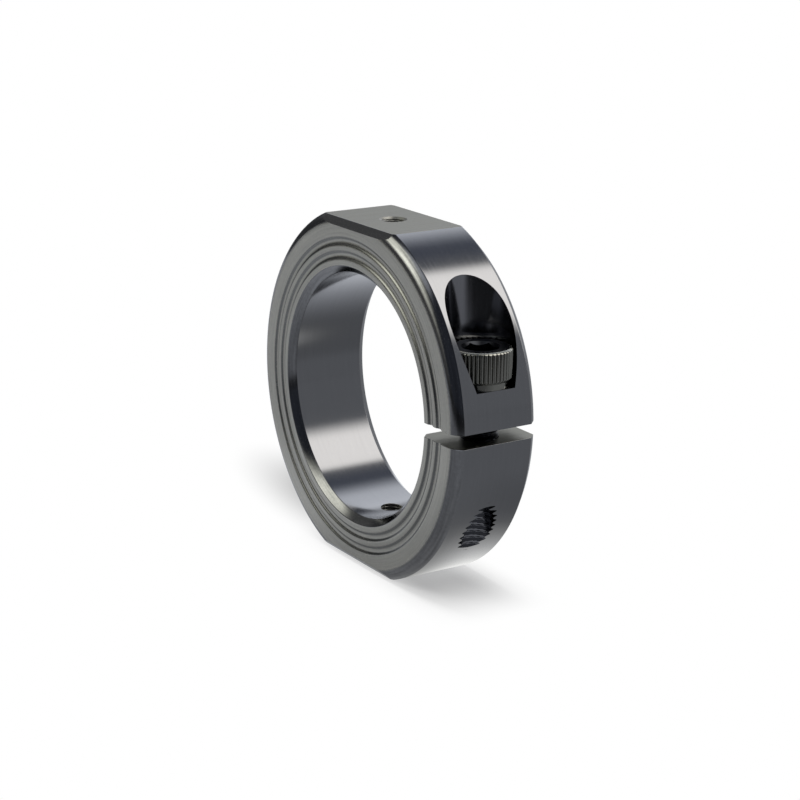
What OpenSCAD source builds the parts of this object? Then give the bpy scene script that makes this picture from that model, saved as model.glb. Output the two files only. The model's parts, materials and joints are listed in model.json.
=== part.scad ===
// Clamp shaft collar: a one-piece ring with a single slit, drawn shut on its shaft by one
// cap screw that crosses the slit. Two milled flats, each with a tapped hole, mount it.
// The shaft axis is Y, through the origin at the middle of the ring's width. The grooved
// face looks to -Y, the slit is on the +X side and the flats are at the top and bottom.
// The screw stands along Z with its head up.

/* [Ring] */
// Bore diameter, the size of the shaft
bore_d = 40; // [38:0.5:41]
// Outside diameter of the ring
ring_d = 60; // [59:0.5:64]
// Width of the ring along the shaft
ring_w = 15; // [14:0.5:20]
// Width of the rolled front edge, across the face
front_rim_w = 2.3; // [1.8:0.1:2.6]
// Depth of the rolled front edge, along the shaft
front_rim_h = 1.4; // [1:0.1:1.8]
// Size of the 45 degree chamfer on the back outer edge
back_rim_chamfer = 1.4; // [0.6:0.1:1.8]
// Size of the bore's chamfer on the grooved face
bore_chamfer_front = 1.1; // [0.4:0.1:1.6]
// Size of the bore's chamfer on the plain face
bore_chamfer_back = 1.6; // [0.4:0.1:2]

/* [Grooved face] */
// Mid diameter of the inner groove
inner_groove_d = 45.6; // [45:0.1:47]
// Mid diameter of the outer groove
outer_groove_d = 50; // [49:0.1:52]
// Width of each round-bottomed groove
groove_w = 1.3; // [0.8:0.1:1.5]
// Depth of each groove
groove_depth = 0.3; // [0.1:0.05:0.4]

/* [Mounting flats] */
// Distance across the two flats
across_flats = 56.2; // [54:0.2:57]
// Size of the 45 degree bevel along the front and back edges of each flat
flat_bevel = 1.1; // [0.4:0.1:1.5]
// Thread size of the tapped hole in each flat
tapped_d = 4; // [3:0.5:5]
// Width of the countersink's rim beyond the thread
sink_rim = 0.3; // [0.1:0.1:0.6]

/* [Slit] */
// Width of the slit between the two jaws
slit_w = 2.2; // [1:0.1:3]

/* [Clamp screw] */
// Thread size of the clamp screw
screw_d = 6; // [5:0.5:6]
// Length of the screw below its head
screw_len = 16; // [12:1:17]
// Diameter of the screw head over its knurl
head_d = 9.8; // [9:0.1:10]
// Height of the screw head
head_h = 6; // [4:0.5:7]
// Radius that rounds the top of the head
head_round = 0.4; // [0.2:0.1:0.8]
// Diameter of the plain bearing face under the knurl
bearing_d = 8.8; // [8:0.2:8.8]
// Height of the plain bearing face
bearing_h = 1; // [0.5:0.1:1.5]
// Number of teeth in the knurl
knurl_teeth = 45; // [30:1:60]
// Depth of the knurl
knurl_depth = 0.3; // [0.1:0.05:0.5]
// Hexagon key size across its flats
key_af = 5; // [3:0.5:5.5]
// Depth of the hexagon socket
key_depth = 3; // [2:0.5:3.5]
// Chamfer at the tip of the screw
tip_chamfer = 0.6; // [0.3:0.1:1]

/* [Screw pocket] */
// Height of the pocket's floor above the middle of the slit
seat_z = 7; // [6.5:0.5:9]
// Gap round the screw head in its pocket
head_gap = 0.6; // [0.3:0.1:0.8]
// Thinnest wall between the pocket and the bore
pocket_wall = 0.65; // [0.5:0.05:1]
// Gap round the screw in the upper jaw's clearance hole
shank_gap = 0.3; // [0.2:0.1:0.5]
// Play round the screw in the lower jaw's threaded hole
thread_play = 0.05; // [0.02:0.01:0.08]

/* [Hidden] */
$fn = 128;

bore_r = bore_d / 2;
ring_r = ring_d / 2;
half_w = ring_w / 2;
flat_z = across_flats / 2;
// Radii of the arcs with these widths and depths
groove_r = (groove_w * groove_w / 4 + groove_depth * groove_depth) / (2 * groove_depth);
front_rim_r = (front_rim_w * front_rim_w + front_rim_h * front_rim_h) / (2 * front_rim_h);
// The angle at which the rolled edge meets the outside diameter
front_rim_turn = asin(front_rim_w / front_rim_r);
tapped_r = tapped_d / 2;
sink_r = tapped_r + sink_rim;
hole_r = screw_d / 2;
shank_r = hole_r - thread_play;
clearance_r = hole_r + shank_gap;
head_r = head_d / 2;
bearing_r = bearing_d / 2;
pocket_r = head_r + head_gap;
// The pocket's floor is where it comes closest to the bore, and that places the screw
screw_x = sqrt(bore_r * bore_r - seat_z * seat_z) + pocket_wall + pocket_r;
// How far each cutting tool runs past the surface that it cuts
past = 1;
// How far the knurl's sharp teeth would stand out if the head's diameter did not blunt them
tooth_over = 0.06;
// Straight steps in the arcs of the turned sections
arc_steps = 4;
steel = "#55565a";
black = "#1d1e20";

// Half section of the ring: radius across, and the shaft axis upwards, grooved face first
module ring_section() {
    polygon([
        [bore_r, -half_w + bore_chamfer_front],
        [bore_r + bore_chamfer_front, -half_w],
        for (i = [0 : arc_steps])
            let (a = front_rim_turn * i / arc_steps)
                [ring_r - front_rim_w + front_rim_r * sin(a), -half_w + front_rim_r * (1 - cos(a))],
        [ring_r, half_w - back_rim_chamfer],
        [ring_r - back_rim_chamfer, half_w],
        [bore_r + bore_chamfer_back, half_w],
        [bore_r, half_w - bore_chamfer_back]
    ]);
}

// Lays a turned shape, drawn about Z, along the shaft axis Y
module along_shaft() {
    rotate([-90, 0, 0]) children();
}

// A groove turned into the front face with a round-nosed tool
module face_groove(mid_d) {
    along_shaft()
        translate([0, 0, -half_w - (groove_r - groove_depth)])
            rotate_extrude() translate([mid_d / 2, 0]) circle(r = groove_r, $fn = 32);
}

// The slab that the two flats and their edge bevels leave of the ring
module flats_slab() {
    rotate([90, 0, 90])
        linear_extrude(ring_d + 2 * past, center = true)
            polygon([
                [-half_w, -flat_z + flat_bevel],
                [-half_w + flat_bevel, -flat_z],
                [half_w - flat_bevel, -flat_z],
                [half_w, -flat_z + flat_bevel],
                [half_w, flat_z - flat_bevel],
                [half_w - flat_bevel, flat_z],
                [-half_w + flat_bevel, flat_z],
                [-half_w, flat_z - flat_bevel]
            ]);
}

// The tapped hole of the upper flat, from the bore out through its countersink
module tapped_hole() {
    cylinder(r = tapped_r, h = flat_z + past);
    translate([0, 0, flat_z - sink_rim])
        cylinder(r1 = tapped_r, r2 = sink_r + past, h = sink_rim + past);
}

// The slit that parts the upper jaw from the lower jaw
module slit() {
    translate([0, -half_w - past, -slit_w / 2])
        cube([ring_r + past, ring_w + 2 * past, slit_w]);
}

// Everything bored along the screw's axis: the pocket for its head, the clearance hole in
// the upper jaw, and the threaded hole right through the lower jaw
module screw_bores() {
    translate([screw_x, 0, 0]) {
        translate([0, 0, seat_z]) cylinder(r = pocket_r, h = ring_r);
        cylinder(r = clearance_r, h = seat_z + past);
        translate([0, 0, -ring_r]) cylinder(r = hole_r, h = ring_r);
    }
}

module collar_ring() {
    color(steel)
        difference() {
            intersection() {
                along_shaft() rotate_extrude() ring_section();
                flats_slab();
            }
            face_groove(inner_groove_d);
            face_groove(outer_groove_d);
            slit();
            screw_bores();
            tapped_hole();
            mirror([0, 0, 1]) tapped_hole();
        }
}

// Outline of the knurl: pointed teeth round the head, seen from above
module knurl_outline() {
    half_tooth = 180 / knurl_teeth;
    polygon([
        for (i = [0 : 2 * knurl_teeth - 1])
            let (r = i % 2 == 0 ? head_r + tooth_over : head_r - knurl_depth)
                [r * cos(i * half_tooth), r * sin(i * half_tooth)]
    ]);
}

// Half section of the turned head: chamfered below the knurl, rounded above it
module head_section() {
    polygon([
        [0, bearing_h],
        [bearing_r, bearing_h],
        [head_r, bearing_h + head_r - bearing_r],
        for (i = [0 : arc_steps])
            let (a = 90 * i / arc_steps)
                [head_r - head_round * (1 - cos(a)), head_h - head_round * (1 - sin(a))],
        [0, head_h]
    ]);
}

// The head, turned to its section and knurled
module knurled_head() {
    intersection() {
        linear_extrude(head_h + past) knurl_outline();
        rotate_extrude() head_section();
    }
}

// The bearing face and the shank, turned in one with the head
module turned_shank() {
    rotate_extrude()
        polygon([
            [0, -screw_len],
            [shank_r - tip_chamfer, -screw_len],
            [shank_r, -screw_len + tip_chamfer],
            [shank_r, 0],
            [bearing_r, 0],
            [bearing_r, bearing_h],
            [0, bearing_h]
        ]);
}

// The hexagon socket, with a chamfered mouth and the drill point at its bottom
module key_socket() {
    key_r = key_af / 2 / cos(30);
    drill_r = 0.45 * key_af;
    drill_tip = drill_r / 2;
    translate([0, 0, head_h - key_depth]) {
        cylinder(r = key_r, h = key_depth + past, $fn = 6);
        translate([0, 0, -drill_tip]) cylinder(r1 = 0, r2 = drill_r, h = drill_tip);
    }
    translate([0, 0, head_h - key_r]) cylinder(r1 = 0, r2 = key_r + past, h = key_r + past);
}

module clamp_screw() {
    color(black)
        translate([screw_x, 0, seat_z])
            difference() {
                union() {
                    turned_shank();
                    knurled_head();
                }
                key_socket();
            }
}

collar_ring();
clamp_screw();
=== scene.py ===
"""A one-piece clamp shaft collar of black-oxide steel with its knurled cap screw."""

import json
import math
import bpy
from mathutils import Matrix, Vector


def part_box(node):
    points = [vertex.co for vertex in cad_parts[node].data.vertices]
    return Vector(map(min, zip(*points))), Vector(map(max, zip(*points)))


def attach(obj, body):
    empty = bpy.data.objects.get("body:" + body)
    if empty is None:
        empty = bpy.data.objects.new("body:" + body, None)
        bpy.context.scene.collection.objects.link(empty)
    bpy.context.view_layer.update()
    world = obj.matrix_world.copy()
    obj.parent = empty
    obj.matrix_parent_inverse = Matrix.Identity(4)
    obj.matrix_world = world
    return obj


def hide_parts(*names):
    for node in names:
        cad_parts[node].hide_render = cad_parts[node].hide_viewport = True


bl_info = {
    "name": "Clamp Shaft Collar",
    "version": (1, 0, 0),
    "blender": (4, 5, 0),
    "location": "View3D > Sidebar > Collar",
    "description": "Builds a clamp shaft collar, its cap screw and a plain studio",
    "category": "Object",
}

import bmesh
import bpy
from mathutils import Matrix, Vector

MM = 0.001

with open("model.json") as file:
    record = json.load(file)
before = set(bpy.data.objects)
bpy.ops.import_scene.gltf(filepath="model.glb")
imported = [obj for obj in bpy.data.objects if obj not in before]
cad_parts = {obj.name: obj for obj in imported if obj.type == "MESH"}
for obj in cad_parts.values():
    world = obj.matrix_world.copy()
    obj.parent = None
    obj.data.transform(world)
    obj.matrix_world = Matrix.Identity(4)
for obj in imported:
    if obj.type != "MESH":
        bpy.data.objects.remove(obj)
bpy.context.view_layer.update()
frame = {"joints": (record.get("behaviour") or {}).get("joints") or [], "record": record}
MOUNTS = {m["name"]: m for m in frame["record"]["mounts"]}
JOINTS = {j["name"]: j for j in frame["joints"]}

RING_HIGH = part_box("collar_ring")[1]
SCREW_LOW, SCREW_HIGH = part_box("clamp_screw")
BORE_R = MOUNTS["shaft_bore"]["dims"]["r_mm"]
TAPPED_R = MOUNTS["top_thread"]["dims"]["r_mm"]
RING_R = RING_HIGH.x / MM
HALF_W = RING_HIGH.y / MM
FLAT_Z = RING_HIGH.z / MM
SCREW_X = JOINTS["screw_turn"]["pos_m"][0] / MM
SEAT_Z = JOINTS["screw_turn"]["pos_m"][2] / MM
SCREW_TIP_Z = SCREW_LOW.z / MM
HEAD_R = SCREW_HIGH.x / MM - SCREW_X
HEAD_H = SCREW_HIGH.z / MM - SEAT_Z

# Depth of a metric thread in a hole and on a screw, as a share of its pitch
HOLE_THREAD = 0.541
SCREW_THREAD = 0.6134
# How far a cutting tool runs past the surface that it cuts
PAST = 1.0
# Numbers of the ring's finishes, in the order of its materials
TURNED, FACED, MILLED, BORED, TAPPED, ROLLED, GROOVED = range(7)


def srgb(code):
    """The linear colour, with alpha, of an sRGB hex value."""
    parts = [int(code[i : i + 2], 16) / 255 for i in (1, 3, 5)]
    return [
        c / 12.92 if c <= 0.04045 else ((c + 0.055) / 1.055) ** 2.4 for c in parts
    ] + [1.0]


def length_mm(name, description, default):
    """A size property in millimetres."""
    return bpy.props.FloatProperty(name=name, description=description, default=default, min=0.0)


def colour(name, description, code):
    """A colour property that starts from an sRGB hex value."""
    return bpy.props.FloatVectorProperty(
        name=name,
        description=description,
        subtype="COLOR",
        size=4,
        min=0.0,
        max=1.0,
        default=srgb(code),
    )


class CollarSizes(bpy.types.PropertyGroup):
    """Sizes of the ring and the screw that the frame doesn't give, in millimetres"""

    front_rim_w: length_mm("Front rim width", "Rolled front edge, across the face", 2.3)
    front_rim_h: length_mm("Front rim depth", "Rolled front edge, along the shaft", 1.4)
    back_rim_chamfer: length_mm("Back rim chamfer", "45 degree chamfer of the back edge", 1.4)
    bore_chamfer_front: length_mm("Front bore chamfer", "On the grooved face", 1.1)
    bore_chamfer_back: length_mm("Back bore chamfer", "On the plain face", 1.6)
    inner_groove_r: length_mm("Inner groove", "Mid radius of the inner groove", 22.8)
    outer_groove_r: length_mm("Outer groove", "Mid radius of the outer groove", 25.0)
    groove_w: length_mm("Groove width", "Width of each round-bottomed groove", 1.3)
    groove_depth: length_mm("Groove depth", "Depth of each groove", 0.3)
    flat_bevel: length_mm("Flat bevel", "Bevel along the flats' edges", 1.1)
    slit_w: length_mm("Slit", "Width of the slit", 2.2)
    edge_break: length_mm("Edge break", "Radius that softens the turned edges", 0.15)
    groove_lip: length_mm("Groove lip", "Radius that rounds the lips of the grooves", 0.7)
    lip_break: length_mm("Lip break", "Radius that softens the bore chamfer's front lip", 0.3)
    slit_break: length_mm("Slit edge break", "Size that softens the slit's edges", 0.03)
    pocket_r: length_mm("Pocket radius", "Radius of the screw head's pocket", 5.5)
    clearance_r: length_mm("Clearance hole", "Radius of the upper jaw's hole", 3.3)
    sink_rim: length_mm("Countersink", "Rim of the tapped holes' countersinks", 0.3)
    screw_r: length_mm("Screw hole", "Radius of the clamp screw's threaded hole", 3.0)
    screw_pitch: length_mm("Screw pitch", "Pitch of the clamp screw's thread", 1.0)
    thread_play: length_mm("Thread play", "Play of the screw in its threaded hole", 0.05)
    tip_chamfer: length_mm("Tip chamfer", "Chamfer at the screw's tip", 0.6)
    tapped_pitch: length_mm("Tapped pitch", "Pitch of the flats' tapped holes", 0.5)
    bearing_r: length_mm("Bearing radius", "Plain face under the screw's head", 4.4)
    bearing_h: length_mm("Bearing height", "Height of the plain bearing face", 1.0)
    crown_w: length_mm("Crown width", "Rounding of the head's top edge, across the head", 0.7)
    crown_h: length_mm("Crown height", "Rounding of the head's top edge, along the screw", 0.55)
    knurl_depth: length_mm("Knurl depth", "Depth of the head's straight knurl", 0.3)
    knurl_teeth: bpy.props.IntProperty(
        name="Knurl teeth", description="Teeth round the head", default=45, min=12
    )
    key_af: length_mm("Key size", "Hexagon key size across flats", 5.0)
    key_depth: length_mm("Key depth", "Depth of the hexagon socket", 3.0)


class CollarFinishes(bpy.types.PropertyGroup):
    """Colours of the finishes"""

    turned: colour("Turned steel", "Black oxide over fine turning", "#87888b")
    faced: colour("Faced steel", "Black oxide over the coarser facing cuts", "#c6c5be")
    grooved: colour("Grooved steel", "Black oxide in the two grooves", "#868786")
    milled: colour("Milled steel", "Black oxide over the milled flats", "#77766d")
    bored: colour("Bored steel", "Black oxide inside the pocket", "#8a8b90")
    tapped: colour("Tapped steel", "Bright steel that shows in the tapped holes", "#8e8e8a")
    knurled: colour("Knurled steel", "Black oxide over the rolled knurl and crown", "#90908a")
    # The rest of the screw is far darker than the knurl: a heavier oxide, and painted shade on the
    # head's top, in the socket and on the thread
    screw: colour("Screw steel", "Heavy black oxide of the rest of the cap screw", "#34363a")


class CollarStage(bpy.types.PropertyGroup):
    """The camera and the studio"""

    azimuth: bpy.props.FloatProperty(
        name="Azimuth",
        description="Direction of the camera round the collar",
        subtype="ANGLE",
        default=math.radians(57.573),
    )
    elevation: bpy.props.FloatProperty(
        name="Elevation",
        description="Height of the camera above the horizon",
        subtype="ANGLE",
        default=math.radians(16.161),
    )
    roll: bpy.props.FloatProperty(
        name="Roll",
        description="Turn of the camera about its own axis",
        subtype="ANGLE",
        default=math.radians(0.416),
    )
    distance: length_mm("Distance", "From the camera to the collar", 330.812)
    aside: bpy.props.FloatVectorProperty(
        name="Aside",
        description="Offset of the camera to its right and up, in millimetres",
        size=2,
        default=(1.278, -1.577),
    )
    lens: bpy.props.FloatProperty(
        name="Lens",
        description="Focal length on a 36 mm sensor",
        unit="CAMERA",
        default=92.0,
    )
    floor: colour("Floor", "White paper under the collar", "#f0f0f0")


def new_mesh(name, verts, faces):
    """A mesh object, with its normals outward, from points in millimetres."""
    mesh = bpy.data.meshes.new(name)
    mesh.from_pydata([(x * MM, y * MM, z * MM) for x, y, z in verts], [], faces)
    work = bmesh.new()
    work.from_mesh(mesh)
    bmesh.ops.recalc_face_normals(work, faces=work.faces)
    work.to_mesh(mesh)
    work.free()
    made = bpy.data.objects.new(name, mesh)
    bpy.context.scene.collection.objects.link(made)
    return made


def softened(corners, steps=4):
    """Points of a closed outline whose corners (u, v, radius) are rounded."""
    points = []
    count = len(corners)
    for i, (u, v, radius) in enumerate(corners):
        here = Vector((u, v))
        if not radius:
            points.append((u, v))
            continue
        back = (Vector(corners[i - 1][:2]) - here).normalized()
        ahead = (Vector(corners[(i + 1) % count][:2]) - here).normalized()
        half = back.angle(ahead) / 2
        run = radius / math.tan(half)
        centre = here + (back + ahead).normalized() * radius / math.sin(half)
        start = here + back * run - centre
        sweep = start.angle_signed(here + ahead * run - centre)
        for k in range(steps + 1):
            a = -sweep * k / steps
            points.append(
                (
                    centre.x + start.x * math.cos(a) - start.y * math.sin(a),
                    centre.y + start.x * math.sin(a) + start.y * math.cos(a),
                )
            )
    return points


def turned(name, profile, steps):
    """A closed profile of (radius, distance along the shaft), turned once about the shaft."""
    count = len(profile)
    verts = []
    for i in range(steps):
        a = 2 * math.pi * i / steps
        verts += [(r * math.cos(a), along, r * math.sin(a)) for r, along in profile]
    faces = [
        (
            i * count + k,
            i * count + (k + 1) % count,
            (i + 1) % steps * count + (k + 1) % count,
            (i + 1) % steps * count + k,
        )
        for i in range(steps)
        for k in range(count)
    ]
    return new_mesh(name, verts, faces)


def stacked(name, rows, steps, centre=(0.0, 0.0)):
    """A closed solid about a vertical axis: each row is (height, radius at an angle)."""
    verts = []
    for z, radius_at in rows:
        for i in range(steps):
            a = 2 * math.pi * i / steps
            r = radius_at(a)
            verts.append((centre[0] + r * math.cos(a), centre[1] + r * math.sin(a), z))
    faces = [
        (
            j * steps + i,
            j * steps + (i + 1) % steps,
            (j + 1) * steps + (i + 1) % steps,
            (j + 1) * steps + i,
        )
        for j in range(len(rows) - 1)
        for i in range(steps)
    ]
    faces.append(tuple(reversed(range(steps))))
    faces.append(tuple(range((len(rows) - 1) * steps, len(rows) * steps)))
    return new_mesh(name, verts, faces)


def round_bar(name, sections, steps, centre=(0.0, 0.0)):
    """A turned solid from (height, radius) sections, standing upright."""
    return stacked(name, [(z, lambda a, r=r: r) for z, r in sections], steps, centre)


def prism(name, outline, low, high, place):
    """An outline (u, v) drawn out from low to high; place(u, v, w) gives the point."""
    count = len(outline)
    verts = [place(u, v, w) for w in (low, high) for u, v in outline]
    faces = [(k, (k + 1) % count, count + (k + 1) % count, count + k) for k in range(count)]
    faces.append(tuple(reversed(range(count))))
    faces.append(tuple(range(count, 2 * count)))
    return new_mesh(name, verts, faces)


def cut(target, tool, operation="DIFFERENCE"):
    """Cuts target with tool, or joins or intersects them, and clears the tool away."""
    modifier = target.modifiers.new(tool.name, "BOOLEAN")
    modifier.operation = operation
    modifier.solver = "MANIFOLD"
    modifier.object = tool
    graph = bpy.context.evaluated_depsgraph_get()
    shaped = bpy.data.meshes.new_from_object(target.evaluated_get(graph))
    target.modifiers.clear()
    before = target.data
    target.data = shaped
    bpy.data.meshes.remove(before)
    spent = tool.data
    bpy.data.objects.remove(tool)
    bpy.data.meshes.remove(spent)
    if not target.data.polygons:
        raise RuntimeError(f"nothing is left of {target.name}")


def thread_radius(minor, major, pitch, z, angle, minor_share, major_share=0.125):
    """Radius of a right-hand thread, with flats that take these shares of its pitch."""
    phase = (z / pitch - angle / (2 * math.pi)) % 1.0
    off_major = min(phase, 1.0 - phase)
    flank = (1.0 - minor_share - major_share) / 2
    down = min(max((off_major - major_share / 2) / flank, 0.0), 1.0)
    return major + (minor - major) * down


def hole_thread(major, pitch, z, angle):
    """Radius of the thread cut into a hole of this major radius."""
    return thread_radius(major - HOLE_THREAD * pitch, major, pitch, z, angle, 0.25)


def finish_mesh(obj, smooth_angle):
    """Merges slivers and sets smooth shading with sharp creases."""
    work = bmesh.new()
    work.from_mesh(obj.data)
    bmesh.ops.remove_doubles(work, verts=work.verts, dist=0.002 * MM)
    bmesh.ops.dissolve_degenerate(work, edges=work.edges, dist=0.001 * MM)
    work.to_mesh(obj.data)
    work.free()
    obj.data.shade_smooth()
    obj.data.set_sharp_from_angle(angle=math.radians(smooth_angle))
    weighted = obj.modifiers.new("Weighted normals", "WEIGHTED_NORMAL")
    weighted.keep_sharp = True
    weighted.weight = 100


def add_node(tree, kind, settings=None, **links):
    """Adds a node, sets its properties and links or sets its inputs by name."""
    node = tree.nodes.new(kind)
    for key, value in (settings or {}).items():
        setattr(node, key, value)
    for key, value in links.items():
        number = key[1:]
        socket = node.inputs[int(number) if number.isdigit() else key.replace("_", " ")]
        if isinstance(value, bpy.types.NodeSocket):
            tree.links.new(value, socket)
        else:
            socket.default_value = value
    return node


def new_material(name):
    """An empty node material and its output node."""
    material = bpy.data.materials.new(name)
    material.use_nodes = True
    material.node_tree.nodes.clear()
    out = material.node_tree.nodes.new("ShaderNodeOutputMaterial")
    return material, material.node_tree, out


def tool_marks(tree, layout, pitch_mm):
    """The vector whose first axis runs across the tool marks, in pitches of the tool.

    The marks run round the shaft on a face ("round") or on a cylinder ("along" the shaft
    from one to the next), or they are straight.
    """
    place = add_node(tree, "ShaderNodeTexCoord").outputs["Object"]
    pitch = pitch_mm * MM
    if layout == "straight":
        # Along the mark the pattern changes only every 60 pitches
        scale = (1 / pitch, 1 / (60 * pitch), 1 / (60 * pitch))
        return add_node(tree, "ShaderNodeMapping", None, Vector=place, Scale=scale).outputs[0]
    parts = add_node(tree, "ShaderNodeSeparateXYZ", None, Vector=place).outputs
    across = parts[1]
    if layout == "round":
        squares = [
            add_node(
                tree, "ShaderNodeMath", {"operation": "MULTIPLY"}, _0=part, _1=part
            ).outputs[0]
            for part in (parts[0], parts[2])
        ]
        total = add_node(
            tree, "ShaderNodeMath", {"operation": "ADD"}, _0=squares[0], _1=squares[1]
        ).outputs[0]
        across = add_node(tree, "ShaderNodeMath", {"operation": "SQRT"}, _0=total).outputs[0]
    # Along the mark the pattern changes only every few millimetres
    slow = 1 / (9 * MM)
    scaled = [
        add_node(
            tree, "ShaderNodeMath", {"operation": "MULTIPLY"}, _0=part, _1=scale
        ).outputs[0]
        for part, scale in ((across, 1 / pitch), (parts[0], slow), (parts[2], slow))
    ]
    return add_node(
        tree, "ShaderNodeCombineXYZ", None, _0=scaled[0], _1=scaled[1], _2=scaled[2]
    ).outputs[0]


def seen_as_white(tree):
    """1 for the rays that see the paper and the room as plain white, and 0 for the others."""
    path = add_node(tree, "ShaderNodeLightPath").outputs
    seen = path["Is Camera Ray"]
    for kind in ("Is Glossy Ray", "Is Transmission Ray"):
        seen = add_node(
            tree, "ShaderNodeMath", {"operation": "MAXIMUM"}, _0=seen, _1=path[kind]
        ).outputs[0]
    return seen


def facing_share(tree, steep_at):
    """1 on the flat face, and 0 where the normal's part along the shaft is down to steep_at."""
    normal = add_node(tree, "ShaderNodeTexCoord").outputs["Normal"]
    along = add_node(tree, "ShaderNodeSeparateXYZ", None, Vector=normal).outputs[1]
    return add_node(
        tree,
        "ShaderNodeMapRange",
        {"interpolation_type": "SMOOTHSTEP"},
        _0=add_node(tree, "ShaderNodeMath", {"operation": "ABSOLUTE"}, _0=along).outputs[0],
        _1=steep_at,
        _2=1.0,
    ).outputs[0]


def oxide_steel(name, base, roughness, layout, pitch_mm, depth_mm, tone, steep=None):
    """Black-oxide steel: a metal darkened by its oxide, over the marks of the cut.

    pitch_mm and depth_mm are those of the marks, and tone is how far their colour varies.
    Where the surface turns off the flat face it fades to the steep colour and roughness,
    and has them where the normal's part along the shaft is down to the third steep value.
    """
    material, tree, out = new_material(name)
    # The oxide's own mottle is about half a millimetre across
    grain = 0.5 * MM
    marks = add_node(
        tree,
        "ShaderNodeTexNoise",
        {"noise_dimensions": "3D"},
        Vector=tool_marks(tree, layout, pitch_mm),
        Scale=1.0,
        Detail=2.0,
    ).outputs[0]
    cloud = add_node(
        tree,
        "ShaderNodeTexNoise",
        None,
        Vector=add_node(tree, "ShaderNodeTexCoord").outputs["Object"],
        Scale=1 / grain,
        Detail=3.0,
    ).outputs[0]
    # Seven parts of the cutter's marks to three parts of the mottle
    both = add_node(
        tree, "ShaderNodeMix", {"data_type": "FLOAT"}, _0=0.3, _2=marks, _3=cloud
    ).outputs[0]
    # The noise keeps between about 0.3 and 0.7, and that range carries the whole variation
    shade, wear = (
        add_node(
            tree, "ShaderNodeMapRange", None, _0=both, _1=0.3, _2=0.7, _3=1 - part, _4=1 + part
        ).outputs[0]
        for part in (tone, 0.15)
    )
    colour_in, rough_in = tuple(base[:3]), roughness
    if steep:
        steep_colour, steep_rough, steep_at = steep
        facing = facing_share(tree, steep_at)
        colour_in = add_node(
            tree,
            "ShaderNodeMix",
            {"data_type": "RGBA"},
            _0=facing,
            _6=tuple(steep_colour),
            _7=tuple(base),
        ).outputs[2]
        rough_in = add_node(
            tree,
            "ShaderNodeMix",
            {"data_type": "FLOAT"},
            _0=facing,
            _2=steep_rough,
            _3=roughness,
        ).outputs[0]
    tint = add_node(
        tree, "ShaderNodeVectorMath", {"operation": "SCALE"}, _0=colour_in, Scale=shade
    ).outputs[0]
    rough = add_node(
        tree, "ShaderNodeMath", {"operation": "MULTIPLY"}, _0=wear, _1=rough_in
    ).outputs[0]
    bump = add_node(
        tree, "ShaderNodeBump", None, Strength=1.0, Distance=depth_mm * MM, Height=marks
    ).outputs[0]
    shader = add_node(
        tree,
        "ShaderNodeBsdfPrincipled",
        None,
        Base_Color=tint,
        Metallic=1.0,
        Roughness=rough,
        Normal=bump,
    )
    tree.links.new(shader.outputs[0], out.inputs[0])
    return material


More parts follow.
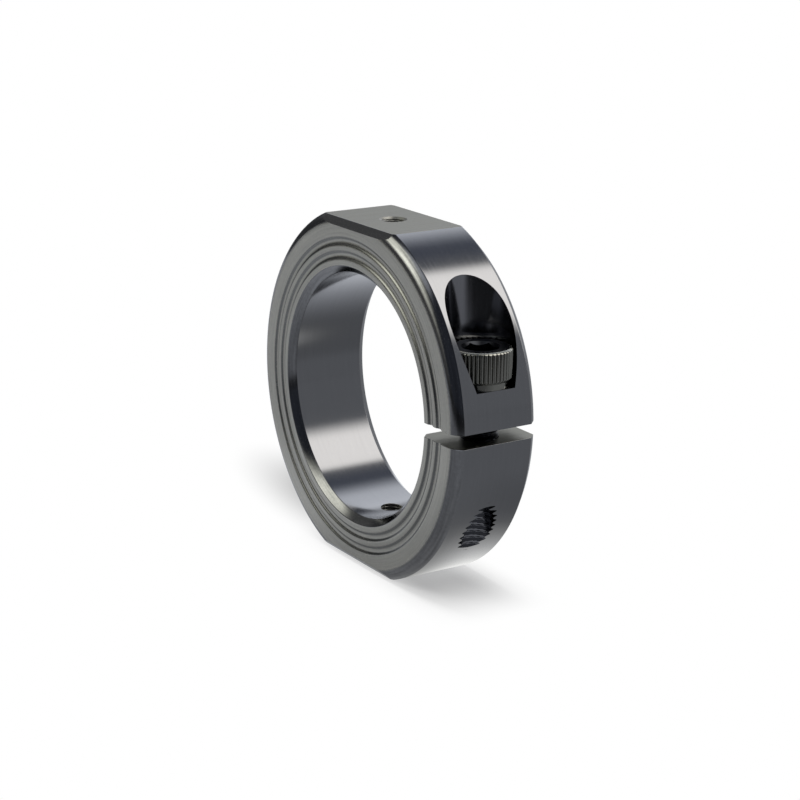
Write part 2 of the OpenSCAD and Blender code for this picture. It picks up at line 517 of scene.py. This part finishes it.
class COLLAR_OT_ring(bpy.types.Operator):
    """Builds the turned ring with its flats, grooves, slit, pocket and threads"""

    bl_idname = "collar.ring"
    bl_label = "Collar Ring"

    def execute(self, context):
        size = context.scene.collar_sizes
        ring = turned("collar_ring_turned", self.section(size), 720)
        self.mill_flats(ring, size)
        self.saw_slit(ring, size)
        self.bore_for_screw(ring, size)
        self.tap_flats(ring, size)
        # The threads' flanks meet the bore at 24 degrees, and that edge stays sharp
        finish_mesh(ring, 20.0)
        self.dress(ring, size, context.scene.collar_finishes)
        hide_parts("collar_ring")
        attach(ring, "collar")
        return {"FINISHED"}

    def section(self, size):
        """Half section of the turned ring: (radius, distance along the shaft)."""
        soft = size.edge_break
        groove_r = (size.groove_w**2 / 4 + size.groove_depth**2) / (2 * size.groove_depth)
        rim_r = (size.front_rim_w**2 + size.front_rim_h**2) / (2 * size.front_rim_h)
        rim_turn = math.asin(size.front_rim_w / rim_r)

        def groove(mid):
            """A round-bottomed groove with rounded lips, from the outer lip inward."""
            lip = size.groove_lip
            lean = math.acos(1 - size.groove_depth / (groove_r + lip))
            reach = (groove_r + lip) * math.sin(lean)
            turns = [lean * k / 7 for k in range(8)]
            points = [(reach - lip * math.sin(t), lip * (1 - math.cos(t))) for t in turns]
            points += [
                (groove_r * math.sin(t), size.groove_depth - groove_r * (1 - math.cos(t)))
                for t in turns[-2::-1]
            ]
            points += [(-across, deep) for across, deep in points[-2::-1]]
            return [(mid + across, deep - HALF_W, 0) for across, deep in points]

        rim = [
            (
                RING_R - size.front_rim_w + rim_r * math.sin(t),
                -HALF_W + rim_r - rim_r * math.cos(t),
                0,
            )
            for t in (rim_turn * (1 - k / 16) for k in range(17))
        ]
        return softened(
            [
                (BORE_R, -HALF_W + size.bore_chamfer_front, soft),
                (BORE_R, HALF_W - size.bore_chamfer_back, soft),
                (BORE_R + size.bore_chamfer_back, HALF_W, soft),
                (RING_R - size.back_rim_chamfer, HALF_W, soft),
                (RING_R, HALF_W - size.back_rim_chamfer, 2 * soft),
                (*rim[0][:2], soft),
                *rim[1:],
                *groove(size.outer_groove_r),
                *groove(size.inner_groove_r),
                (BORE_R + size.bore_chamfer_front, -HALF_W, size.lip_break),
            ]
        )

    def mill_flats(self, ring, size):
        """Mills the two flats, with the bevels along their front and back edges."""
        slab = []
        for sy, sz in ((-1, -1), (1, -1), (1, 1), (-1, 1)):
            bevel = [
                (sy * HALF_W, sz * (FLAT_Z - size.flat_bevel), 0),
                (sy * (HALF_W - size.flat_bevel), sz * FLAT_Z, size.edge_break),
            ]
            slab += bevel if sy == sz else bevel[::-1]
        tool = prism(
            "flats", softened(slab), -RING_R - PAST, RING_R + PAST, lambda u, v, w: (w, u, v)
        )
        cut(ring, tool, "INTERSECT")

    def saw_slit(self, ring, size):
        """Saws the slit between the jaws and breaks its edges."""
        gap = size.slit_w / 2
        side = HALF_W + PAST
        blade = [(-side, -gap), (side, -gap), (side, gap), (-side, gap)]
        # The cut starts well inside the bore
        start = BORE_R - 5
        cut(ring, prism("slit", blade, start, RING_R + PAST, lambda u, v, w: (w, u, v)))

        # Wedges that break the slit's edges: each sinks a little below one face of the
        # section, here given by a place on it (x, y) and the turn of its outward normal
        depth = size.slit_break
        out = PAST / 2
        wedge = [(-depth - gap, 0), (out, gap + depth + out), (out, -gap - depth - out)]
        half_run = 9
        mid = (BORE_R + RING_R) / 2
        rim = size.back_rim_chamfer / 2
        front, back = size.bore_chamfer_front / 2, size.bore_chamfer_back / 2
        for x, y, turn in (
            (RING_R, 0, 0),
            (RING_R - rim, HALF_W - rim, 45),
            (mid, HALF_W, 90),
            (BORE_R + back, HALF_W - back, 135),
            (BORE_R, 0, 180),
            (BORE_R + front, -HALF_W + front, 225),
            (mid, -HALF_W, 270),
            (RING_R - rim, rim - HALF_W, 315),
        ):
            c, s = math.cos(math.radians(turn)), math.sin(math.radians(turn))
            tool = prism(
                "slit_edge",
                wedge,
                -half_run,
                half_run,
                lambda u, v, w: (x + c * u - s * w, y + s * u + c * w, v),
            )
            cut(ring, tool)

    def bore_for_screw(self, ring, size):
        """Bores the pocket and the clearance hole, and taps the lower jaw."""
        axis = (SCREW_X, 0.0)
        for name, start, end, radius, steps in (
            ("pocket", SEAT_Z, RING_R + 5, size.pocket_r, 192),
            ("clearance", 0, SEAT_Z + PAST, size.clearance_r, 128),
        ):
            cut(ring, round_bar(name, [(start, radius), (end, radius)], steps, axis))

        screw_r, pitch = size.screw_r, size.screw_pitch
        # Beside the screw the hole keeps its full width, so the turning screw clears it.
        # Its thread starts a little below the screw's tip and deepens over the lead
        below, lead = 0.4, 0.3
        start = SCREW_TIP_Z - below
        step = pitch / 16
        rows = [(0.0, lambda a: screw_r)]
        for k in range(int((RING_R + start) / step) + 1):
            z = start - k * step
            wide = max(0.0, 1 - k * step / lead)
            rows.append(
                (
                    z,
                    lambda a, z=z, w=wide: w * screw_r
                    + (1 - w) * hole_thread(screw_r, pitch, z, a),
                )
            )
        cut(ring, stacked("screw_thread", rows[::-1], 96, axis))

    def tap_flats(self, ring, size):
        """Taps a hole through each flat into the bore, and countersinks it."""
        pitch = size.tapped_pitch
        step = pitch / 12
        low, high = BORE_R - 2, FLAT_Z + PAST
        minor = TAPPED_R - HOLE_THREAD * pitch
        rim = TAPPED_R + size.sink_rim
        for side in (1, -1):
            rows = []
            for k in range(int((high - low) / step) + 1):
                z = side * (low + k * step)
                rows.append((z, lambda a, z=z: hole_thread(TAPPED_R, pitch, z, a)))
            cut(ring, stacked("tapped_thread", rows[::side], 72))
            # The cone, close to 45 degrees, starts just inside the thread's crests
            sink = [(FLAT_Z - size.sink_rim - 0.25, minor - 0.05), (FLAT_Z + PAST, rim + PAST)]
            sink = [(side * z, r) for z, r in sink]
            cut(ring, round_bar("countersink", sink[::side], 96))

    def dress(self, ring, size, finish):
        """Gives each surface the finish of the cut that made it."""
        facing = {"layout": "round", "pitch_mm": 0.28}
        turning = {"layout": "along", "pitch_mm": 0.3}
        ring.data.materials.clear()
        for steel in (
            # Black-oxide steel, fine turned: a low satin gloss that shows the studio's panels
            oxide_steel(
                "Black-oxide steel, fine turned",
                finish.turned,
                roughness=0.13,
                depth_mm=0.0005,
                tone=0.03,
                **turning,
            ),
            # Black-oxide steel, faced: the coarser cross feed scatters the light to a satin
            # grey. The real feed marks are under 0.1 mm apart; they are drawn coarser, so
            # that they show
            oxide_steel(
                "Black-oxide steel, faced",
                finish.faced,
                roughness=0.34,
                depth_mm=0.0035,
                tone=0.15,
                **facing,
            ),
            # Black-oxide steel, milled: even satin, with straight cutter marks
            oxide_steel(
                "Black-oxide steel, milled",
                finish.milled,
                roughness=0.36,
                layout="straight",
                pitch_mm=0.3,
                depth_mm=0.002,
                tone=0.05,
            ),
            # Black-oxide steel, bored: the pocket, where the oxide keeps darker
            oxide_steel(
                "Black-oxide steel, bored",
                finish.bored,
                roughness=0.14,
                depth_mm=0.001,
                tone=0.05,
                **turning,
            ),
            # Steel, tapped: the thread's flanks are rougher and rubbed brighter than the rest
            oxide_steel(
                "Steel, tapped",
                finish.tapped,
                roughness=0.42,
                depth_mm=0.001,
                tone=0.08,
                **turning,
            ),
            # Black-oxide steel, rolled edge: the facing marks run out where the edge turns
            # down, so the satin grey gives way to the smoother turned gloss
            oxide_steel(
                "Black-oxide steel, rolled edge",
                finish.faced,
                roughness=0.34,
                depth_mm=0.005,
                tone=0.28,
                steep=(finish.turned, 0.15, 0.955),
                **facing,
            ),
            # Black-oxide steel, grooved: the form tool leaves the grooves a little duller
            oxide_steel(
                "Black-oxide steel, grooved",
                finish.faced,
                roughness=0.34,
                depth_mm=0.002,
                tone=0.12,
                steep=(finish.grooved, 0.25, 0.89),
                **facing,
            ),
        ):
            ring.data.materials.append(steel)
        for face in ring.data.polygons:
            face.material_index = self.cut_of(face, size)

    def cut_of(self, face, size):
        """Number of a face's finish, found from where the face is and where it looks."""
        near = 0.02
        x, y, z = (c / MM for c in face.center)
        n = face.normal
        radius = math.hypot(x, z)
        outward = (n.x * x + n.z * z) / radius
        if abs(outward) > 0.97 and min(abs(radius - RING_R), abs(radius - BORE_R)) < near:
            return TURNED
        # The two flats and the jaws' faces
        if abs(n.z) > 0.95 and (abs(z) > FLAT_Z - near or abs(z) < size.slit_w / 2 + near):
            return MILLED
        from_screw = math.hypot(x - SCREW_X, y)
        wall = size.pocket_r if z > SEAT_Z - near else size.clearance_r
        if x > BORE_R - 1 and from_screw < wall + near:
            return BORED
        if math.hypot(x, y) < TAPPED_R + size.sink_rim + near and abs(z) < FLAT_Z - 0.001:
            return TAPPED
        # The bevels of the flats
        if abs(n.x) < 0.01 and abs(abs(n.y) - abs(n.z)) < 0.02:
            return TURNED
        if abs(n.y) > 0.99 and abs(y) > HALF_W - near:
            return FACED
        if y > -HALF_W + size.front_rim_h + near or abs(outward) > 0.97:
            return TURNED
        on_groove = min(abs(radius - size.inner_groove_r), abs(radius - size.outer_groove_r))
        return GROOVED if on_groove < size.groove_w else ROLLED


class COLLAR_OT_screw(bpy.types.Operator):
    """Builds the cap screw: knurled head, hexagon socket and threaded shank"""

    bl_idname = "collar.screw"
    bl_label = "Clamp Screw"

    def execute(self, context):
        size = context.scene.collar_sizes
        axis = (SCREW_X, 0.0)
        screw = stacked("clamp_screw_knurled", self.head(size), 16 * size.knurl_teeth, axis)
        cut(screw, stacked("shank", self.shank(size), 96, axis), "UNION")
        self.broach_socket(screw, size, axis)
        finish_mesh(screw, 24.0)
        self.dress(screw, size, context.scene.collar_finishes)
        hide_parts("clamp_screw")
        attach(screw, "screw")
        return {"FINISHED"}

    def head(self, size):
        """Rows of the head: bearing face, chamfer, knurl and crown."""
        bearing_r, bearing_h = size.bearing_r, size.bearing_h
        # The bearing face's edge is broken by a tenth of a millimetre
        profile = [(0.0, bearing_r - 0.1), (0.1, bearing_r), (bearing_h, bearing_r)]
        chamfer = HEAD_R - bearing_r
        profile += [(bearing_h + chamfer * k / 6, bearing_r + chamfer * k / 6) for k in range(1, 7)]
        # The crown is turned smooth over the ends of the knurl
        profile += [
            (HEAD_H - size.crown_h * (1 - math.sin(t)), HEAD_R - size.crown_w * (1 - math.cos(t)))
            for t in (math.pi / 2 * k / 12 for k in range(13))
        ]

        def tooth(a):
            """Radius of the knurl at an angle: rounded teeth with narrow valleys."""
            crest = abs(math.cos(a * size.knurl_teeth / 2)) ** 0.6
            return HEAD_R - size.knurl_depth * (1 - crest)

        return [
            (SEAT_Z + h, lambda a, r=r, knurled=h > bearing_h: min(r, tooth(a)) if knurled else r)
            for h, r in profile
        ]

    def shank(self, size):
        """Rows of the threaded shank, from its chamfered tip up into the head."""
        shank_r, pitch = size.screw_r - size.thread_play, size.screw_pitch
        minor = shank_r - SCREW_THREAD * pitch
        # The thread runs out into a plain neck under the head
        neck_h, run_out = 1.2, 0.8
        step = pitch / 16
        rows = []
        for k in range(int((SEAT_Z - SCREW_TIP_Z) / step) + 1):
            z = SCREW_TIP_Z + k * step
            cone = shank_r - size.tip_chamfer + (z - SCREW_TIP_Z)
            plain = min(max((z - SEAT_Z + neck_h) / run_out, 0.0), 1.0)
            rows.append(
                (
                    z,
                    lambda a, z=z, cone=cone, plain=plain: min(
                        cone,
                        thread_radius(minor, shank_r, pitch, z, a, 0.125) * (1 - plain)
                        + shank_r * plain,
                    ),
                )
            )
        return rows + [(SEAT_Z + 0.5, lambda a: shank_r)]

    def broach_socket(self, screw, size, axis):
        """Cuts the hexagon socket, with its drill point and its chamfered mouth."""
        key_r = size.key_af / 2 / math.cos(math.pi / 6)
        top = SEAT_Z + HEAD_H
        floor = top - size.key_depth
        corner_r = 0.12
        corners = []
        for k in range(6):
            a = math.pi / 3 * k
            corners.append((SCREW_X + key_r * math.cos(a), key_r * math.sin(a), corner_r))
        socket = prism(
            "socket", softened(corners, 3), floor, top + PAST, lambda u, v, w: (u, v, w)
        )
        cut(screw, socket)
        # The two cones end in a tiny round instead of a point
        tip_r = 0.02
        drill_r = 0.45 * size.key_af
        drill = [(floor - drill_r / 2, tip_r), (floor + 0.01, drill_r + tip_r)]
        cut(screw, round_bar("drill_point", drill, 64, axis))
        mouth_r = key_r + 0.12
        mouth = [(top - mouth_r, tip_r), (top + PAST, mouth_r + PAST)]
        cut(screw, round_bar("mouth", mouth, 96, axis))

    def dress(self, screw, size, finish):
        """Gives the knurl and crown, and then the rest, their finishes."""
        marks = {"layout": "straight", "pitch_mm": 0.4, "depth_mm": 0.001, "tone": 0.06}
        screw.data.materials.clear()
        for steel in (
            # Black-oxide alloy steel, knurled: rolled smooth, so each crest and the crown shine
            oxide_steel(
                "Black-oxide alloy steel, knurled", finish.knurled, roughness=0.22, **marks
            ),
            # Black-oxide alloy steel, dull: the forged top, the socket and the thread, a heavier
            # oxide darkened further as painted shade, so that they come out near black
            oxide_steel("Black-oxide alloy steel, dull", finish.screw, roughness=0.3, **marks),
        ):
            screw.data.materials.append(steel)
        for face in screw.data.polygons:
            x, y, z = (c / MM for c in face.center)
            on_top = math.hypot(x - SCREW_X, y) < HEAD_R - size.crown_w + 0.02
            face.material_index = 1 if on_top or z < SEAT_Z else 0


def ease(value, start, end):
    """0 at start and 1 at end, with a smooth rise between them."""
    t = min(max((value - start) / (end - start), 0.0), 1.0)
    return t * t * (3 - 2 * t)


def window(value, low, high, soft_low, soft_high):
    """1 inside a range, fading smoothly to 0 across its two soft edges."""
    rise = ease(value, low - soft_low, low + soft_low)
    fall = 1 - ease(value, high - soft_high, high + soft_high)
    return rise * fall


def laid_over(under, light, share):
    """A light (brightness, tint) that covers a share of the colour under it."""
    level, tint = light
    return [u * (1 - share) + level * t * share for u, t in zip(under, tint)]


# Tints of the studio's light
WARM = (1.04, 1.0, 0.94)
WHITE = (1.0, 1.0, 0.98)
CREAM = (1.01, 1.0, 0.85)
COOL = (0.97, 1.0, 1.06)
BLUE = (0.9, 1.0, 1.25)


def studio_glow(d):
    """Colour of the studio in a direction, as the metal sees it.

    across is the angle round the shaft in degrees, 0 on the slit's side and 90 overhead.
    d.y runs from -1, straight in front of the grooved face, to 1 behind the collar.
    """
    across = math.degrees(math.atan2(d.z, d.x))
    if across < -90:
        across += 360
    behind = ease(d.y, -0.15, 0.2)
    # The room is grey behind the collar, dark round the camera and along the left horizon
    glow = [0.05 * t for t in BLUE]
    glow = laid_over(glow, (0.14, WHITE), ease(across, 95, 150))
    above = window(across, 75, 106, 6, 8) * window(-d.y, 0.32, 0.68, 0.1, 0.08)
    glow = laid_over(glow, (0.7, COOL), above)
    glow = laid_over(glow, (0.31, COOL), behind)
    left_dark = window(across, 167, 230, 5, 5) * window(d.y, -0.45, 0.4, 0.1, 0.1)
    glow = laid_over(glow, (0.05, COOL), left_dark)
    glow = laid_over(glow, (0.19, BLUE), behind * window(across, 95, 125, 8, 10))
    # An overhead panel on the right and a lower one on the left, both behind the collar
    glow = laid_over(glow, (2.7, WARM), behind * window(across, 46.5, 87, 9, 4))
    glow = laid_over(glow, (1.45, COOL), behind * window(across, 117, 157, 12, 9))
    # A third in front of it, high on the left, that leans over and is brightest inside
    low = 101 - 5 * ease(-d.y, 0.74, 0.84)
    high = 143.5 - 9 * ease(-d.y, 0.76, 0.86)
    panel = window(across, low, high, 19, 9) * window(-d.y, 0.45, 0.92, 0.08, 0.12)
    level = 2.1 + 0.9 * window(-d.y, 0.69, 0.8, 0.05, 0.05)
    return laid_over(glow, (level, CREAM), panel)


def painted_table_glow(x, y):
    """Painted light and shade of the table at a place in millimetres, as the metal sees it: bright
    to the left and behind, dark to the right of the collar where its shadow falls, with a painted
    patch of light beside its foot.
    """
    reach = math.hypot(x, y)
    left = ease(-x, -3, 38) * (1 - 0.8 * ease(reach, 50, 100)) * (1 - 0.8 * ease(y, 35, 65))
    level = 0.28 - 0.04 * ease(y, 5, 20) + 0.06 * ease(x, 30, 55) + 0.08 * ease(-x, 70, 140)
    level += 0.75 * left * (0.3 + 0.7 * ease(y, -10, 15))
    # The lamps' pool ends on the camera's side, and the far table dims a little
    level *= 1 - 0.94 * ease(0.77 * x - 0.64 * y, 85, 178) * (1 - ease(y, 60, 120))
    level *= 1 - 0.12 * ease(reach, 450, 550)
    # The light that gathers beside the foot of the collar
    deep = 8 if y > 7 else 6
    lit = 0.92 * math.exp(-((x - 14) ** 2) / (2 * 6.2**2) - (y - 7) ** 2 / (2 * deep**2))
    lit += 0.08 * math.exp(-((x - 22) ** 2 + (y + 8) ** 2) / (2 * 16**2))
    return laid_over([level * t for t in COOL], (level + lit, WHITE), min(1.0, 4 * lit))


class COLLAR_OT_stage(bpy.types.Operator):
    """Sets the camera, the white floor, the lamps and the studio that the metal shows"""

    bl_idname = "collar.stage"
    bl_label = "Studio"

    def execute(self, context):
        scene = context.scene
        self.camera(scene)
        self.floor(scene)
        self.dome()
        self.lamps(scene)
        self.world(scene)
        scene.view_settings.view_transform = "Standard"
        return {"FINISHED"}

    def camera(self, scene):
        """The camera, at the photograph's viewing angle."""
        stage = scene.collar_stage
        az, el = stage.azimuth, stage.elevation
        back = Vector((math.sin(az) * math.cos(el), -math.cos(az) * math.cos(el), math.sin(el)))
        level = Vector((math.cos(az), math.sin(az), 0.0))
        upright = back.cross(level)
        c, s = math.cos(stage.roll), math.sin(stage.roll)
        right = c * level + s * upright
        up = -s * level + c * upright
        data = bpy.data.cameras.new("Camera")
        data.sensor_width = 36.0
        data.lens = stage.lens
        data.clip_start, data.clip_end = 0.01, 20.0
        camera = bpy.data.objects.new("Camera", data)
        scene.collection.objects.link(camera)
        place = (back * stage.distance + right * stage.aside[0] + up * stage.aside[1]) * MM
        turn = Matrix((right, up, back)).transposed().to_4x4()
        camera.matrix_world = Matrix.Translation(place) @ turn
        scene.camera = camera

    def floor(self, scene):
        """A wide sheet of white paper at the collar's foot."""
        half, z = 4000.0, -FLAT_Z
        corners = [(-half, -half, z), (half, -half, z), (half, half, z), (-half, half, z)]
        floor = new_mesh("floor", corners, [(0, 1, 2, 3)])
        floor.data.materials.append(self.paper(scene.collar_stage.floor))

    def paper(self, paper_colour):
        """White paper, uncoated: a matt white that takes the collar's soft shadow, with a further
        shadow painted on it to the left of the collar's foot.

        It is plain white to the eye, and a real diffuse sheet only near the collar.
        """
        material, tree, out = new_material("White paper")
        seen = seen_as_white(tree)
        place = add_node(tree, "ShaderNodeTexCoord").outputs["Object"]

        # A painted shadow: an ellipse that darkens the white to the left of the collar's foot
        painted_shadow_spread = add_node(
            tree,
            "ShaderNodeMapping",
            {"vector_type": "TEXTURE"},
            Vector=place,
            Location=Vector((-27.0, 5.6, -FLAT_Z)) * MM,
            Rotation=(0.0, 0.0, math.radians(-6.4)),
            Scale=(41.3 * MM, 13.6 * MM, 1.0),
        ).outputs[0]
        from_painted_shadow = add_node(
            tree, "ShaderNodeVectorMath", {"operation": "LENGTH"}, _0=painted_shadow_spread
        ).outputs["Value"]
        # The lit sheet keeps to a rectangle beside and under the collar, with soft edges
        parts = add_node(tree, "ShaderNodeSeparateXYZ", None, Vector=place).outputs
        from_middle = []
        for part, middle in ((parts[0], 6), (parts[1], 0)):
            off = add_node(
                tree, "ShaderNodeMath", {"operation": "SUBTRACT"}, _0=part, _1=middle * MM
            ).outputs[0]
            from_middle.append(
                add_node(tree, "ShaderNodeMath", {"operation": "ABSOLUTE"}, _0=off).outputs[0]
            )
        # shade is the painted shadow: 0.42 of the white in the ellipse's middle, full white beyond
        # it
        shade, beside_x, beside_y = (
            add_node(
                tree,
                "ShaderNodeMapRange",
                {"interpolation_type": "SMOOTHSTEP"},
                _0=distance,
                _1=start,
                _2=end,
                _3=level,
                _4=level_beyond,
            ).outputs[0]
            for distance, start, end, level, level_beyond in (
                (from_painted_shadow, 0.0, 1.0, 0.42, 1.0),
                (from_middle[0], 8 * MM, 28 * MM, 1.0, 0.0),
                (from_middle[1], 2.5 * MM, 12.5 * MM, 1.0, 0.0),
            )
        )
        # White beyond the lit sheet, darkened by the painted shadow, and a lift that brings the lit
        # sheet to the same white
        white, lift = (
            add_node(
                tree,
                "ShaderNodeEmission",
                None,
                Strength=add_node(
                    tree, "ShaderNodeMath", {"operation": "MULTIPLY"}, _0=seen, _1=share
                ).outputs[0],
            ).outputs[0]
            for share in (shade, 0.33)
        )
        lit = add_node(tree, "ShaderNodeBsdfDiffuse", None, Color=tuple(paper_colour)).outputs[0]
        sheet = add_node(tree, "ShaderNodeAddShader", None, _0=lit, _1=lift).outputs[0]
        beside = add_node(
            tree, "ShaderNodeMath", {"operation": "MULTIPLY"}, _0=beside_x, _1=beside_y
        ).outputs[0]
        mixed = add_node(
            tree, "ShaderNodeMixShader", None, _0=beside, _1=white, _2=sheet
        ).outputs[0]
        tree.links.new(mixed, out.inputs[0])
        return material

    def dome(self):
        """A shell of soft panels, and a table painted with the collar's shadow and light, that only
        the metal's reflections see.
        """
        turns, steps, radius = 360, 90, 600.0
        verts, glows, faces = [], [], []
        for i in range(turns):
            a = 2 * math.pi * i / turns
            for j in range(steps + 1):
                t = math.pi * j / steps
                d = Vector((math.sin(t) * math.cos(a), math.cos(t), math.sin(t) * math.sin(a)))
                verts.append(tuple(d * radius))
                glows.append(studio_glow(d))
                if j < steps:
                    here, beside = i * (steps + 1) + j, (i + 1) % turns * (steps + 1) + j
                    faces.append((here, here + 1, beside + 1, beside))
        self.glossy_only("studio_panels", verts, faces, glows)

        # The table's glow is painted shade and light: the collar's shadow, and the light beside its
        # foot
        rings, steps = 60, 120
        # The table lies a hair above the paper
        z = 0.05 - FLAT_Z
        verts, glows, faces = [], [], []
        for j in range(rings + 1):
            # The rings stand closer together near the collar
            r = radius * (j / rings) ** 2.2 + 1.0
            for i in range(steps):
                a = 2 * math.pi * i / steps
                x, y = r * math.cos(a), r * math.sin(a)
                verts.append((x, y, z))
                glows.append(painted_table_glow(x, y))
                if j < rings:
                    here, beside = j * steps + i, j * steps + (i + 1) % steps
                    faces.append((here, beside, beside + steps, here + steps))
        self.glossy_only("painted_studio_table", verts, faces, glows)

    def glossy_only(self, name, verts, faces, glows):
        """A mesh with a glow at each vertex that nothing but a reflection shows."""
        shell = new_mesh(name, verts, faces)
        layer = shell.data.color_attributes.new("glow", "FLOAT_COLOR", "POINT")
        layer.data.foreach_set("color", [c for glow in glows for c in (*glow, 1.0)])
        material, tree, out = new_material(name.replace("_", " ").capitalize())
        glow = add_node(tree, "ShaderNodeAttribute", {"attribute_name": "glow"}).outputs["Color"]
        light = add_node(tree, "ShaderNodeEmission", None, Color=glow, Strength=1.0).outputs[0]
        tree.links.new(light, out.inputs[0])
        material.cycles.emission_sampling = "NONE"
        shell.data.materials.append(material)
        shell.visible_camera = False
        shell.visible_diffuse = False
        shell.visible_shadow = False
        shell.visible_transmission = False

    def lamps(self, scene):
        """Two soft square lamps, high on the left: their place and side in mm, and watts."""
        for name, place, side, power in (
            ("Key lamp", (-260, -40, 560), 260, 2.4),
            ("Front lamp", (-300, -420, 420), 320, 0.95),
        ):
            data = bpy.data.lights.new(name, "AREA")
            data.size = side * MM
            data.energy = power
            lamp = bpy.data.objects.new(name, data)
            scene.collection.objects.link(lamp)
            lamp.location = Vector(place) * MM
            lamp.rotation_mode = "QUATERNION"
            lamp.rotation_quaternion = (-Vector(place)).to_track_quat("-Z", "Y")
            # The metal shows the studio's panels in place of the lamps
            lamp.visible_glossy = False

    def world(self, scene):
        """A room that is plain white to the eye and lights the paper only faintly."""
        world = bpy.data.worlds.new("White room")
        world.use_nodes = True
        tree = world.node_tree
        tree.nodes.clear()
        strength = add_node(
            tree,
            "ShaderNodeMapRange",
            None,
            _0=seen_as_white(tree),
            _1=0.0,
            _2=1.0,
            _3=0.096,
            _4=1.0,
        ).outputs[0]
        white = (1.0, 1.0, 1.0, 1.0)
        sky = add_node(
            tree, "ShaderNodeBackground", None, Color=white, Strength=strength
        ).outputs[0]
        out = tree.nodes.new("ShaderNodeOutputWorld")
        tree.links.new(sky, out.inputs[0])
        scene.world = world


class COLLAR_PT_panel(bpy.types.Panel):
    """The collar's pieces and finishes"""

    bl_idname = "COLLAR_PT_panel"
    bl_label = "Clamp Shaft Collar"
    bl_space_type = "VIEW_3D"
    bl_region_type = "UI"
    bl_category = "Collar"

    def draw(self, context):
        layout = self.layout
        for group in (
            context.scene.collar_sizes,
            context.scene.collar_finishes,
            context.scene.collar_stage,
        ):
            box = layout.box()
            for key in group.__annotations__:
                box.prop(group, key)
        for operator in OPERATORS:
            layout.operator(operator.bl_idname)


GROUPS = {
    "collar_sizes": CollarSizes,
    "collar_finishes": CollarFinishes,
    "collar_stage": CollarStage,
}
OPERATORS = (COLLAR_OT_stage, COLLAR_OT_ring, COLLAR_OT_screw)


def register():
    for name, group in GROUPS.items():
        bpy.utils.register_class(group)
        setattr(bpy.types.Scene, name, bpy.props.PointerProperty(type=group))
    for cls in (*OPERATORS, COLLAR_PT_panel):
        bpy.utils.register_class(cls)


def unregister():
    for cls in (COLLAR_PT_panel, *reversed(OPERATORS)):
        bpy.utils.unregister_class(cls)
    for name, group in GROUPS.items():
        delattr(bpy.types.Scene, name)
        bpy.utils.unregister_class(group)


def main():
    register()
    bpy.ops.collar.stage()
    bpy.ops.collar.ring()
    bpy.ops.collar.screw()


if __name__ == "__main__":
    main()
